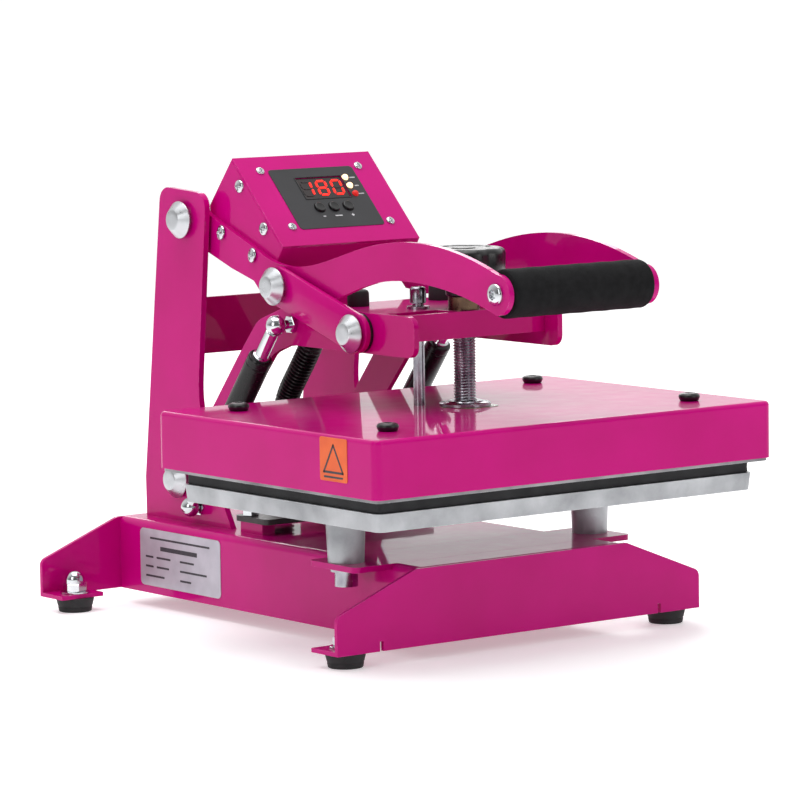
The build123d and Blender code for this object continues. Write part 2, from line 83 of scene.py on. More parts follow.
def at(x, y, z):
    return Vector((x, y - Y_MID, z)) / 1000


def linear(hex_colour):
    out = []
    for i in (1, 3, 5):
        c = int(hex_colour[i:i + 2], 16) / 255
        out.append(c / 12.92 if c <= 0.04045 else ((c + 0.055) / 1.055) ** 2.4)
    return (*out, 1.0)


# ---- materials ----

class Nodes:
    """A material's node tree with short calls for the nodes used here."""

    def __init__(self, name):
        self.mat = bpy.data.materials.new(name)
        self.mat.use_nodes = True
        self.tree = self.mat.node_tree
        self.shader = self.tree.nodes["Principled BSDF"]
        self.place = self.tree.nodes.new("ShaderNodeTexCoord").outputs["Object"]

    def add(self, kind, **inputs):
        node = self.tree.nodes.new(kind)
        for key, value in inputs.items():
            self.put(node, key.replace("_", " "), value)
        return node

    def put(self, node, key, value):
        socket = node.inputs[int(key)] if key.isdigit() else node.inputs[key]
        if isinstance(value, bpy.types.NodeSocket):
            self.tree.links.new(value, socket)
        else:
            socket.default_value = value

    def noise(self, scale, detail=4.0, rough=0.55, stretch=None):
        where = self.place
        if stretch:
            where = self.add("ShaderNodeMapping", Vector=where, Scale=stretch).outputs[0]
        node = self.add("ShaderNodeTexNoise", Vector=where, Scale=scale, Detail=detail, Roughness=rough)
        return node.outputs[0]

    def span(self, value, low, high, to_low, to_high):
        node = self.add("ShaderNodeMapRange", Value=value)
        for key, number in (("From Min", low), ("From Max", high), ("To Min", to_low), ("To Max", to_high)):
            node.inputs[key].default_value = number
        return node.outputs[0]

    def mix(self, factor, a, b):
        node = self.tree.nodes.new("ShaderNodeMix")
        node.data_type = "RGBA"
        self.put(node, "0", factor)
        self.put(node, "6", a)
        self.put(node, "7", b)
        return node.outputs[2]

    def bump(self, height, distance, strength=1.0, normal=None):
        node = self.add("ShaderNodeBump", Height=height, Distance=distance, Strength=strength)
        if normal:
            self.put(node, "Normal", normal)
        return node.outputs[0]

    def edges(self, radius):
        """1 on sharp outer edges and 0 on flats."""
        bevel = self.add("ShaderNodeBevel", Radius=radius)
        bevel.samples = 4
        plain = self.add("ShaderNodeNewGeometry").outputs["Normal"]
        dot = self.tree.nodes.new("ShaderNodeVectorMath")
        dot.operation = "DOT_PRODUCT"
        self.put(dot, "0", bevel.outputs[0])
        self.put(dot, "1", plain)
        return self.span(dot.outputs["Value"], 0.97, 0.75, 0.0, 1.0)


def finish(name, colour, dark, rough, metal=0.0, grain=40.0, fine=900.0, bump=0.00002, spread=0.08,
           edge_wear_sheen=None, edge_wear_sheen_amount=0.0, coat=0.0, coat_rough=0.1, stretch=None, spec=0.5,
           coat_ior=1.5):
    """A surface with colour variation, roughness variation, fine bump, and sharp edges painted lighter for
    wear and highlight.
    """
    m = Nodes(name)
    cloud = m.noise(grain, 5.0)
    base = m.mix(m.span(cloud, 0.35, 0.68, 0.0, 1.0), linear(dark), linear(colour))
    # Lighter colour on sharp edges: partly edge wear, partly a painted highlight along the edges.
    if edge_wear_sheen:
        wear_and_sheen_mask = m.add("ShaderNodeMath")
        wear_and_sheen_mask.operation = "MULTIPLY"
        m.put(wear_and_sheen_mask, "0", m.edges(0.0009))
        m.put(wear_and_sheen_mask, "1", m.span(m.noise(180.0, 6.0), 0.45, 0.62, 0.0, edge_wear_sheen_amount))
        base = m.mix(wear_and_sheen_mask.outputs[0], base, linear(edge_wear_sheen))
    m.put(m.shader, "Base Color", base)
    m.put(m.shader, "Roughness", m.span(m.noise(grain * 4, 6.0), 0.3, 0.7, rough - spread, rough + spread))
    m.put(m.shader, "Metallic", metal)
    m.put(m.shader, "Coat Weight", coat)
    m.put(m.shader, "Coat Roughness", coat_rough)
    m.put(m.shader, "Coat IOR", coat_ior)
    m.put(m.shader, "Specular IOR Level", spec)
    if bump:
        m.put(m.shader, "Normal", m.bump(m.noise(fine, 3.0, 0.5, stretch), bump))
    return m.mat


def glow(name, colour, strength):
    m = Nodes(name)
    ripple = m.span(m.noise(900.0), 0.3, 0.7, 0.75, 1.0)
    m.put(m.shader, "Base Color", linear(colour))
    m.put(m.shader, "Emission Color", m.mix(ripple, linear("#5A0A00"), linear(colour)))
    m.put(m.shader, "Emission Strength", strength)
    return m.mat


# The lighter pink on the powder coat's sharp edges is a painted edge highlight, with some edge wear.
POWDER = finish("powder_coat", "#C4007A", "#BA0071", 0.38, grain=14, fine=420, bump=0.000003, spread=0.04,
                edge_wear_sheen="#E06AB2", edge_wear_sheen_amount=0.6, coat=0.85, coat_rough=0.04, spec=0.03, coat_ior=1.24)
CAST = finish("cast_aluminium", "#BFC1C4", "#8F9194", 0.44, 0.75, 30, 700, 0.00010, 0.1, "#E4E5E6", 0.8)
PLATEN = finish("platen_aluminium", "#A9A9AC", "#77777A", 0.42, 0.85, 30, 500, 0.00004, 0.08, "#D9DADB", 0.6)
TURNED = finish("turned_aluminium", "#C9CBCE", "#B9BBBE", 0.3, 0.95, 60, 900, 0.000004, 0.04, "#F0F0F0", 0.4)
CHROME = finish("chrome", "#D8DADD", "#C6C9CC", 0.1, 1.0, 50, 600, 0.000002, 0.04)
ZINC = finish("zinc_steel", "#B4B4BA", "#8C8A93", 0.22, 1.0, 90, 700, 0.000004, 0.06, "#ECECEC", 0.4)
BRASS = finish("aged_brass", "#7D6650", "#54413A", 0.3, 1.0, 90, 900, 0.00001, 0.08)
RUBBER = finish("rubber", "#1C1C1E", "#101011", 0.68, 0, 70, 1600, 0.00005, 0.08, "#3A3A3C", 0.3)
FOAM = finish("foam", "#141416", "#08080A", 0.9, 0, 160, 2600, 0.00035, 0.05, spec=0.25)
PAD = finish("pad", "#2B2B2D", "#19191B", 0.8, 0, 60, 1900, 0.00012, 0.06, "#454547", 0.4)
BLACK = finish("black_plastic", "#161618", "#0D0D0F", 0.32, 0, 80, 1500, 0.00002, 0.08, "#4A4A4C", 0.3)
TUBE = finish("black_paint", "#121214", "#0A0A0B", 0.3, 0, 70, 700, 0.000006, 0.05,
              coat=0.2, coat_rough=0.12, spec=0.22)
# The rear rest bar's dark colour is painted shade: the bar sits in shadow under the table.
SHADOWED_BAR_LOOK = finish("dark_steel", "#2B2426", "#1A1718", 0.4, 0, 60, 900, 0.00002, 0.08, "#5A5355", 0.5)
FILM = finish("overlay_film", "#26262A", "#1E1E21", 0.38, 0, 30, 2200, 0.000012, 0.05)
PLATE = finish("plate_foil", "#C6C2CC", "#B2AFB9", 0.34, 0.35, 50, 900, 0.00001, 0.06, stretch=(1, 0.05, 1))
INK = finish("ink", "#3B3940", "#2C2A30", 0.5, 0, 200, 1500, 0.000002, 0.05)
PALE_INK = finish("pale_ink", "#C9C9CC", "#A5A5A8", 0.5, 0, 200, 1500, 0.000002, 0.05)
ORANGE = finish("orange_film", "#E8631B", "#D95312", 0.42, 0, 60, 900, 0.000005, 0.05)
BOARD = finish("fibre_board", "#D9D2C0", "#B7AF9C", 0.9, 0, 50, 700, 0.0001, 0.05)
CIRCUIT = finish("circuit_board", "#1E5B36", "#164428", 0.4, 0, 200, 900, 0.00001, 0.05)
KEYS = finish("key_caps", "#0C0C0E", "#060607", 0.34, 0, 200, 1800, 0.00001, 0.06)
WINDOW = finish("display_window", "#1C0304", "#100203", 0.3, 0, 500, 1200, 0.000003, 0.05, coat=0.15)
GREASE = finish("grease", "#8C7A58", "#5C4A30", 0.3, 0, 120, 800, 0.0002, 0.12, coat=0.5)
DIGIT = glow("lit_segment", "#FF1604", 1.5)
LAMP_LIT = glow("lit_lamp", "#FFD6A2", 2.0)
LAMP_RED = glow("red_lamp", "#B00C06", 0.9)

CAD_LOOKS = {
    POWDER: ("base_channel foot_plates upright_frame front_table_bar carrier_arms carrier_front_plate "
             "carrier_top_plate left_toggle_link right_toggle_link platen_cover lever_plates "
             "control_box_shell control_panel"),
    CAST: "lower_table",
    PLATEN: "heat_platen",
    ZINC: "guide_bushes pivot_shafts grip_tube guide_pins table_screws pressure_screw heating_element",
    CHROME: ("chrome_nuts lower_ball_studs upper_ball_studs left_gas_rod right_gas_rod "
             "lever_screws swivel_flange"),
    TURNED: "pivot_caps toggle_pins left_knee_pin right_knee_pin",
    BRASS: "pressure_nut",
    RUBBER: "rubber_feet rubber_stops cable_grommets",
    PAD: "table_pad",
    BLACK: ("pivot_spacers pressure_knob platen_gland mains_inlet power_switch control_conduit "
            "heater_lead cover_nuts"),
    TUBE: "left_gas_tube right_gas_tube",
    SHADOWED_BAR_LOOK: "rear_rest_bar",
    FOAM: "foam_grip",
    FILM: "panel_overlay",
    PLATE: "rating_plate",
    ORANGE: "heat_label",
    BOARD: "insulation_board",
    CIRCUIT: "circuit_board",
    WINDOW: "display_module",
    LAMP_LIT: "indicator_lamps",
    KEYS: "left_button middle_button right_button",
}
for look, names in CAD_LOOKS.items():
    for name in names.split():
        nodes[name].data.materials.clear()
        nodes[name].data.materials.append(look)


def soften(name, width, angle=32.0, segments=2):
    """Rounds a CAD node's sharp edges without touching its mesh."""
    obj = nodes[name]
    weld = obj.modifiers.new("weld", "WELD")
    weld.merge_threshold = 0.000004
    bevel = obj.modifiers.new("bevel", "BEVEL")
    bevel.width = width / 1000
    bevel.segments = segments
    bevel.limit_method = "ANGLE"
    bevel.angle_limit = math.radians(angle)
    bevel.use_clamp_overlap = True
    bevel.harden_normals = False
    flat = obj.modifiers.new("flat", "WEIGHTED_NORMAL")
    flat.mode = "FACE_AREA"
    flat.weight = 80
    flat.keep_sharp = True


SOFT_EDGES = {
    "base_channel": 0.5, "foot_plates": 0.6, "upright_frame": 0.7, "front_table_bar": 0.7,
    "carrier_arms": 0.8, "carrier_front_plate": 0.7, "carrier_top_plate": 0.7,
    "lever_plates": 0.8, "lower_table": 1.0, "rear_rest_bar": 0.6,
    "control_panel": 0.3, "control_box_shell": 0.5, "heat_platen": 0.5,
}
for name, width in SOFT_EDGES.items():
    soften(name, width)


# ---- mesh helpers ----

def piece(name, verts, faces, look, body, instead=(), smooth=30.0):
    mesh = bpy.data.meshes.new(name)
    mesh.from_pydata([tuple(v) for v in verts], [], faces)
    bm = bmesh.new()
    bm.from_mesh(mesh)
    bmesh.ops.remove_doubles(bm, verts=bm.verts, dist=1e-7)
    bmesh.ops.recalc_face_normals(bm, faces=bm.faces)
    bm.to_mesh(mesh)
    bm.free()
    mesh.polygons.foreach_set("use_smooth", [True] * len(mesh.polygons))
    mesh.set_sharp_from_angle(angle=math.radians(smooth))
    obj = bpy.data.objects.new(name, mesh)
    bpy.context.scene.collection.objects.link(obj)
    obj.data.materials.append(look)
    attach(obj, body)
    if instead:
        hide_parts(*instead)
    return obj


class Build:
    """Collects the vertices and faces of one piece."""

    def __init__(self):
        self.verts = []
        self.faces = []

    def ring_stack(self, rings, closed_ends=True):
        """Joins equal rings of points with quads and closes both ends."""
        start = len(self.verts)
        count = len(rings[0])
        for ring in rings:
            self.verts.extend(ring)
        for i in range(len(rings) - 1):
            for j in range(count):
                a = start + i * count + j
                b = start + i * count + (j + 1) % count
                self.faces.append((a, b, b + count, a + count))
        if closed_ends:
            self.faces.append(tuple(range(start, start + count))[::-1])
            last = start + (len(rings) - 1) * count
            self.faces.append(tuple(range(last, last + count)))

    def lathe(self, place, profile, count=64, phase=0.0, shape=None):
        """Turns (distance along, radius) pairs about the local z axis of place."""
        rings = []
        for along, radius in profile:
            ring = []
            for j in range(count):
                turn = 2 * math.pi * j / count + phase
                r = max(radius, 0.02) * (shape(turn, along) if shape else 1.0)
                ring.append(place @ Vector((r * math.cos(turn), r * math.sin(turn), along)))
            rings.append(ring)
        self.ring_stack(rings)

    def slab(self, place, outline, low, high, bevel=0.0):
        """A prism on an outline in the local xy plane, with its top edge eased by bevel."""
        cx = sum(p[0] for p in outline) / len(outline)
        cy = sum(p[1] for p in outline) / len(outline)
        levels = [(low, 0.0), (high - bevel, 0.0), (high, bevel)] if bevel else [(low, 0.0), (high, 0.0)]
        rings = []
        for height, inset in levels:
            ring = []
            for x, y in outline:
                reach = math.hypot(x - cx, y - cy) or 1.0
                k = 1 - inset / reach
                ring.append(place @ Vector((cx + (x - cx) * k, cy + (y - cy) * k, height)))
            rings.append(ring)
        self.ring_stack(rings)

    def done(self, name, look, body, slot, instead=(), smooth=30.0):
        points = [at(*v) for v in self.verts]
        return piece(name, points, self.faces, look, body, instead, smooth)


def facing(origin, forward, side=(0, 0, 1)):
    """A place whose local z points forward and local y near side, in millimetres."""
    z = Vector(forward).normalized()
    x = Vector(side).cross(z).normalized()
    y = z.cross(x)
    return Matrix.Translation(Vector(origin)) @ Matrix((x, y, z)).transposed().to_4x4()


def rounded(width, height, radius, steps=6, centre=(0, 0)):
    points = []
    for qx, qy, start in ((1, 1, 0), (-1, 1, 90), (-1, -1, 180), (1, -1, 270)):
        for i in range(steps + 1):
            a = math.radians(start + 90 * i / steps)
            points.append((centre[0] + qx * (width / 2 - radius) + radius * math.cos(a),
                           centre[1] + qy * (height / 2 - radius) + radius * math.sin(a)))
    return points


# ---- pivot caps, knee and toggle caps ----

CAP = [(0, 0), (0, 9.9), (2.9, 9.9), (3.0, 13.0), (3.2, 13.4), (3.6, 13.5), (4.0, 13.4), (4.3, 13.1),
       (9.6, 7.9), (9.95, 7.5), (10.1, 7.0), (10.1, 3.5), (10.05, 0)]


def cap_on(build, side, point, start=OUTER, shorten=0.0):
    place = facing((side * start, *point), (side, 0, 0))
    build.lathe(place, [(a if a < 1 else a - shorten, r) for a, r in CAP], 96)


def make_links():
    along = Vector((KNEE[0] - TOGGLE[0], KNEE[1] - TOGGLE[1]))
    start = math.degrees(math.atan2(along.y, along.x))
    outline = []
    for centre, first in ((KNEE, start - 90), (TOGGLE, start + 90)):
        for i in range(33):
            a = math.radians(first + 180 * i / 32)
            nx, ny = math.cos(a), math.sin(a)
            outline.append((centre[0] + LINK_RADIUS * nx, centre[1] + LINK_RADIUS * ny, nx, ny))
    for side, word in ((-1, "left"), (1, "right")):
        link = Build()
        rings = []
        for x, inset in ((67.9, 0.7), (68.1, 0.2), (68.6, 0), (71.7, 0), (72.2, 0.2), (72.4, 0.7)):
            rings.append([Vector((side * x, y - nx * inset, z - nz * inset)) for y, z, nx, nz in outline])
        link.ring_stack(rings)
        link.done(f"{word}_link_plate", POWDER, f"{word}_link", "powder_coat", [f"{word}_toggle_link"], 30)


def make_caps():
    stand = Build()
    for side in (-1, 1):
        cap_on(stand, side, LOWER_PIVOT)
        cap_on(stand, side, TOP_PIVOT)
    stand.done("pivot_cap_set", TURNED, "frame", "turned_aluminium", ["pivot_caps"], 25)
    toggles = Build()
    washers = Build()
    for side in (-1, 1):
        toggles.lathe(facing((side * 61.2, *TOGGLE), (side, 0, 0)),
                      [(0, 0), (0, 6.98), (11.6, 6.98), (11.6, 0)], 48)
        washers.lathe(facing((side * 65.25, *TOGGLE), (side, 0, 0)),
                      [(0, 7.1), (0, 13.2), (0.3, 13.5), (2.2, 13.5), (2.5, 13.2), (2.5, 7.1)], 64)
        cap_on(toggles, side, TOGGLE, OUTER + 0.3, 0.3)
    toggles.done("toggle_pin_set", TURNED, "carrier", "turned_aluminium", ["toggle_pins"], 25)
    washers.done("toggle_washer_pair", BLACK, "carrier", "black_plastic", (), 28)
    for side, word in ((-1, "left"), (1, "right")):
        knee = Build()
        knee.lathe(facing((side * 65.5, *KNEE), (side, 0, 0)), [(0, 0), (0, 11), (2.4, 11), (2.4, 0)], 48)
        cap_on(knee, side, KNEE)
        knee.done(f"{word}_knee_cap", TURNED, f"{word}_link", "turned_aluminium", [f"{word}_knee_pin"], 25)


# ---- gas springs ----

def spring_place(side):
    low = Vector((side * SPRING_X, *BALL_LOW))
    high = Vector((side * SPRING_X, *BALL_HIGH))
    return facing(low, high - low, (1, 0, 0)), (high - low).length


def ball_profile(centre, radius, start, end, steps=18):
    out = []
    for i in range(steps + 1):
        a = math.radians(start + (end - start) * i / steps)
        out.append((centre + radius * math.sin(a), radius * math.cos(a)))
    return out


def make_springs():
    for side, word in ((-1, "left"), (1, "right")):
        place, length = spring_place(side)
        rod = Build()
        rod.lathe(place, ball_profile(0, 7.0, -90, 48)
                  + [(5.6, 4.7), (7, 4.5), (15, 4.5), (15.6, 3.95), (90, 3.95), (90, 0)])
        rod.lathe(place, [(15, 0), (15, 5.8), (15.4, 6.3), (19.6, 6.3), (20, 5.8), (20, 0)], 6)
        rod.done(f"{word}_spring_rod", CHROME, f"{word}_rod", "chrome", [f"{word}_gas_rod"], 28)
        tube = Build()
        top = length - 30
        tube.lathe(place, [(63, 4.2), (63, 8.2), (63.6, 8.8), (64.6, 9.0), (67, 9.0), (67.4, 8.75),
                           (68.2, 8.75), (68.6, 9.0), (top - 7, 9.0), (top - 6.6, 8.7), (top - 5.6, 8.7),
                           (top - 5.2, 9.0), (top - 1.4, 9.0), (top - 0.4, 8.4), (top, 7.2), (top, 4.0)], 72)
        tube.done(f"{word}_spring_tube", TUBE, f"{word}_tube", "black_paint", [f"{word}_gas_tube"], 28)
        end = Build()
        end.lathe(place, [(top - 0.2, 0), (top - 0.2, 6.3), (top + 1.6, 6.3), (top + 2.2, 5.0),
                          (length - 6.2, 5.0)]
                  + ball_profile(length, 7.2, -52, 90), 64)
        end.done(f"{word}_spring_end", CHROME, f"{word}_tube", "chrome", (), 28)
    low = Build()
    high = Build()
    for side in (-1, 1):
        low.lathe(facing((side * OUTER, *BALL_LOW), (side, 0, 0)), [(0, 0), (0, 7), (1.4, 7), (1.4, 0)], 6)
        low.lathe(facing((side * OUTER, *BALL_LOW), (side, 0, 0)),
                  [(0, 0), (0, 2.4), (7.6, 2.4), (7.6, 0)], 24)
        high.lathe(facing((side * ARM_FACE, *BALL_HIGH), (side, 0, 0)),
                   [(0, 0), (0, 6.2), (0.3, 6.6), (3.4, 6.6), (3.8, 6.0), (3.8, 0)], 6)
        high.lathe(facing((side * ARM_FACE, *BALL_HIGH), (side, 0, 0)),
                   [(3, 0), (3, 3.4), (11, 3.4), (11, 0)], 24)
    low.done("lower_ball_stud_set", CHROME, "frame", "chrome", ["lower_ball_studs"], 28)
    high.done("upper_ball_stud_set", CHROME, "carrier", "chrome", ["upper_ball_studs"], 28)


# ---- pressure screw, knob and guides ----

def make_screw():
    build = Build()
    rings = []
    count = 40
    steps = int((SCREW_HIGH - SCREW_LOW) / THREAD_PITCH * 8)
    for i in range(steps + 1):
        z = SCREW_LOW + (SCREW_HIGH - SCREW_LOW) * i / steps
        ring = []
        for j in range(count):
            turn = 2 * math.pi * j / count
            phase = (z / THREAD_PITCH - j / count) % 1.0
            r = SCREW_RADIUS - THREAD_DEPTH * abs(2 * phase - 1) ** 1.3
            ring.append(Vector((r * math.cos(turn), SCREW_Y + r * math.sin(turn), z)))
        rings.append(ring)
    build.ring_stack(rings)
    build.lathe(facing((0, SCREW_Y, 162), (0, 0, 1), (0, 1, 0)),
                [(0, 0), (0, 5.9), (4.1, 5.9), (4.1, 0)], 32)
    build.done("threaded_screw", ZINC, "screw", "steel", ["pressure_screw"], 60)


def make_knob():
    def lobes(turn, along):
        return 1.0 - 0.07 * (0.5 + 0.5 * math.cos(8 * turn)) ** 2

    knob = Build()
    top = facing((0, SCREW_Y, 252), (0, 0, 1), (0, 1, 0))
    knob.lathe(top, [(0, 12), (0, 25), (0.8, 27.6), (2.2, 29.0), (4, 29.6), (15.5, 30.0), (17.6, 29.4),
                     (19.2, 27.9), (20, 25.4), (20, 22), (19.4, 21), (19.4, 9), (20.1, 8), (20.1, 0)],
               160, shape=lobes)
    knob.lathe(top, [(-13.6, 8.3), (-13.6, 11.6), (-12.8, 12.4), (-1, 13.2), (0.2, 15), (0.2, 0)], 64)
    knob.done("lobed_knob", BLACK, "screw", "black_plastic", ["pressure_knob"], 32)


def make_platen_hardware():
    pins = Build()
    nuts = Build()
    flange = Build()
    for side in (-1, 1):
        pin = facing((side * GUIDE[0], GUIDE[1], COVER_TOP), (0, 0, 1), (0, 1, 0))
        pins.lathe(pin, [(0, 0), (0, 3.98), (71.4, 3.98), (71.4, 5.2), (72, 5.75), (80.8, 5.75), (82.2, 5.1),
                         (82.7, 4.4), (82.7, 3.1), (78.6, 2.9), (78.2, 0)], 48)
        for x, y in COVER_NUTS:
            nuts.lathe(facing((side * x, y, COVER_TOP), (0, 0, 1), (0, 1, 0)),
                       [(0, 0), (0, 5.9), (0.5, 6.6), (2.4, 7.4), (3.2, 7.5), (4.2, 7.2), (5.1, 6.2),
                        (5.5, 4.8), (5.5, 3.0), (4.2, 2.6), (4.0, 0)], 56)
    pins.done("guide_pin_pair", ZINC, "platen", "steel", ["guide_pins"], 32)
    nuts.done("cover_nut_set", BLACK, "platen", "steel", ["cover_nuts"], 32)
    flange.lathe(facing((0, SCREW_Y, COVER_TOP), (0, 0, 1), (0, 1, 0)),
                 [(0, 0), (0, 17.4), (0.5, 18), (2.2, 18), (2.8, 17.2), (3.2, 13), (4.0, 12.2), (4.0, 8.6),
                  (3.2, 8.2), (3.2, 0)], 72)
    flange.done("greased_flange", ZINC, "platen", "steel", ["swivel_flange"], 32)
    smear = Build()
    outline = []
    for i in range(72):
        a = 2 * math.pi * i / 72
        r = 19.5 + 3.4 * math.sin(3 * a + 0.6) * math.sin(2 * a) + random.uniform(-1.2, 1.6)
        outline.append((r * math.cos(a), SCREW_Y + r * math.sin(a)))
    smear.slab(Matrix.Identity(4), outline, 161.62, 161.9, 0.2)
    smear.done("grease_smear", GREASE, "platen", "brass", (), 40)


# ---- screws, feet and nuts ----

def head_mesh(build, place, radius, height, drive, rings=14, count=48):
    """A domed screw head with its recess cut into the dome."""
    stack = []
    for i in range(rings + 1):
        share = 1 - i / rings
        r = radius * max(share, 0.004)
        ring = []
        for j in range(count):
            a = 2 * math.pi * j / count
            x, y = r * math.cos(a), r * math.sin(a)
            z = height * (0.35 + 0.65 * math.sqrt(max(0.0, 1 - (r / radius) ** 2)))
            if drive == "cross" and min(abs(x), abs(y)) < 0.13 * radius and r < 0.62 * radius:
                z -= 0.5 * height
            flat = max(abs(math.cos(a - k * math.pi / 3)) for k in range(3))
            if drive == "hex" and r * flat < 0.42 * radius:
                z -= 0.6 * height
            ring.append(place @ Vector((x, y, z)))
        stack.append(ring)
    turns = [2 * math.pi * j / count for j in range(count)]
    base = [place @ Vector((radius * math.cos(a), radius * math.sin(a), 0)) for a in turns]
    build.ring_stack([base] + stack)


PANEL_ORIGIN = (0, 254.2, 269.4)
PANEL_OUT = (0, -1, 1)
PANEL_UP = (0, 1, 1)
PANEL = facing(PANEL_ORIGIN, PANEL_OUT, PANEL_UP)


def on_panel(x, up, out=0.0):
    return PANEL @ Matrix.Translation((x, up, out))


def make_lever_screws():
    build = Build()
    for side in (-1, 1):
        head_mesh(build, facing((side * ARM_FACE, *GRIP), (side, 0, 0)), 7.4, 3.7, "hex", 20)
        for point in ((324.2, 276.5), (286.1, 262.1)):
            head_mesh(build, facing((side * ARM_FACE, *point), (side, 0.2, 0.1)), 5.4, 2.3, "cross")
        for point in ((305.8, 310.2), (276.9, 281.0)):
            head_mesh(build, facing((side * BOX_FACE, *point), (side, 0, 0)), 4.8, 2.5, "cross")
        for up in (17.8, 72.0):
            head_mesh(build, on_panel(side * 43.8, up), 3.3, 1.8, "cross")
    build.done("lever_screw_set", CHROME, "lever", "steel", ["lever_screws"], 38)


def make_feet():
    feet = Build()
    nuts = Build()
    for side in (-1, 1):
        for y in FOOT_ROWS:
            feet.lathe(facing((side * FOOT_X, y, 0), (0, 0, 1), (0, 1, 0)),
                       [(0, 0), (0, 11.4), (0.5, 12.0), (3.2, 12.5), (3.8, 12.3), (4.4, 12.7), (8.8, 13.8),
                        (9.8, 13.9), (10.25, 13.4), (10.25, 0)], 64)
            nut = facing((side * FOOT_X, y, 13.3), (0, 0, 1), (0, 1, 0))
            nuts.lathe(nut, [(0, 0), (0, 10.4), (0.3, 10.8), (1.1, 10.8), (1.3, 10.4), (1.3, 0)], 56)
            nuts.lathe(nut, [(1.3, 0), (1.3, 7.9), (1.9, 8.5), (6.6, 8.5), (7.2, 7.9), (7.2, 0)],
                       6, phase=0.3)
            nuts.lathe(nut, [(7.2, 0), (7.2, 6.9), (8.4, 6.9)] + ball_profile(9.4, 6.9, 4, 90), 56)
        rest = facing((side * 69.5, 288, 75.4), (0, 0, 1), (0, 1, 0))
        nuts.lathe(rest, [(0, 0), (0, 6.0), (0.5, 6.5), (4.4, 6.5), (5.0, 6.0), (5.0, 3.4), (3.8, 3.2),
                          (3.8, 0)], 6)
    feet.done("rubber_foot_set", RUBBER, "frame", "black_rubber", ["rubber_feet"], 32)
    nuts.done("chrome_nut_set", CHROME, "frame", "chrome", ["chrome_nuts"], 28)


def make_soft_parts():
    grip = Build()
    profile = [(0, 11.2), (0, 14.8), (0.6, 16.0), (1.8, 16.5)]
    for i in range(59):
        along = 3 + 114 * i / 58
        profile.append((along, GRIP_RADIUS + 0.12 * math.sin(along * 0.31)))
    profile += [(118.2, 16.5), (119.4, 16.0), (120, 14.8), (120, 11.2)]
    grip.lathe(facing((-GRIP_HALF, *GRIP), (1, 0, 0)), profile, 96)
    foam = grip.done("foam_sleeve", FOAM, "lever", "foam", ["foam_grip"], 40)
    pad = Build()
    outline = rounded(*PAD_SIZE, 5, 8, (0, PAD_Y))
    rings = []
    for height, inset in ((0, 0.4), (0.8, 0), (3.8, 0.25), (7.0, 0), (7.9, 0.7), (8.1, 1.6)):
        kx = 1 - inset / (PAD_SIZE[0] / 2)
        ky = 1 - inset / (PAD_SIZE[1] / 2)
        rings.append([Vector((x * kx, PAD_Y + (y - PAD_Y) * ky, PAD_LOW + height)) for x, y in outline])
    pad.ring_stack(rings)
    sponge = pad.done("silicone_pad", PAD, "frame", "black_rubber", ["table_pad"], 40)
    stops = Build()
    for side in (-1, 1):
        stops.lathe(facing((side * 36, 200, 229), (0, 0, 1), (0, 1, 0)),
                    [(0, 0), (0, 7.7), (0.6, 7.85), (9.4, 7.6), (10.8, 6.9), (11.5, 5.6), (11.5, 0)], 56)
    stops.done("rubber_stop_pair", RUBBER, "carrier", "black_rubber", ["rubber_stops"], 32)


# ---- display and panel marks ----

SEGMENTS = {"0": "abcdef", "1": "bc", "8": "abcdefg"}
SEGMENT_BARS = {
    "a": (0, 1, 0), "b": (1, 0.5, 1), "c": (1, -0.5, 1), "d": (0, -1, 0),
    "e": (-1, -0.5, 1), "f": (-1, 0.5, 1),
    "g": (0, 0, 0),
}


def segment_outline(cx, cy, upright, half_wide, half_high, slant=0.12):
    reach = (half_high / 2 if upright else half_wide) - 0.6
    t = 0.85
    points = [(-reach, 0), (-reach + t, t), (reach - t, t), (reach, 0), (reach - t, -t), (-reach + t, -t)]
    if upright:
        points = [(y, x) for x, y in points]
    return [(cx + x + slant * (cy + y), cy + y) for x, y in points]


def make_display():
    lit = Build()
    dim = Build()
    half_wide, half_high = 4.0, 6.6
    for place, digit in zip((-11.3, 2.1, 15.4), "180"):
        centre = on_panel(place - 0.2, 53)
        for name, (sx, sy, upright) in SEGMENT_BARS.items():
            outline = segment_outline(sx * half_wide, sy * half_high, upright, half_wide, half_high)
            target = lit if name in SEGMENTS[digit] else dim
            target.slab(centre, outline, -0.25, 0.12)
    lit.done("display_lit_segments", DIGIT, "lever", "lens", (), 30)
    dim.done("display_dim_segments", WINDOW, "lever", "lens", (), 30)
    frame_edge = Build()
    for x, up, wide, high in ((2.25, 42.5, 41, 0.7), (2.25, 63.5, 41, 0.7),
                              (-18.3, 53, 0.7, 21), (22.8, 53, 0.7, 21)):
        frame_edge.slab(on_panel(x, up), rounded(wide, high, 0.3, 2), 0.3, 0.75)
    frame_edge.done("display_edge", BLACK, "lever", "label", (), 30)
    lamps = Build()
    red = Build()
    for x, up, target in ((26.2, 61.3, lamps), (26.2, 53.3, lamps), (27.0, 45.4, red)):
        target.lathe(on_panel(x, up, -2),
                     [(0, 0), (0, 2.5), (2.6, 2.5)] + ball_profile(2.4, 2.45, 6, 90, 8), 32)
    lamps.done("lamps_lit", LAMP_LIT, "lever", "lens", ["indicator_lamps"], 40)
    red.done("lamp_red", LAMP_RED, "lever", "lens", (), 40)
    marks = Build()
    for x, up, wide in ((32.4, 61.0, 5.0), (32.4, 53.0, 3.6), (32.4, 45.2, 5.0),
                        (-10.9, 25.6, 2.4), (1.8, 25.6, 6.4), (14.4, 25.6, 2.4)):
        marks.slab(on_panel(x, up), rounded(wide, 1.0, 0.3, 2), 0.4, 0.46)
    marks.slab(on_panel(14.4, 25.6), rounded(0.9, 2.6, 0.3, 2), 0.4, 0.47)
    marks.done("panel_marks", PALE_INK, "lever", "label", (), 30)


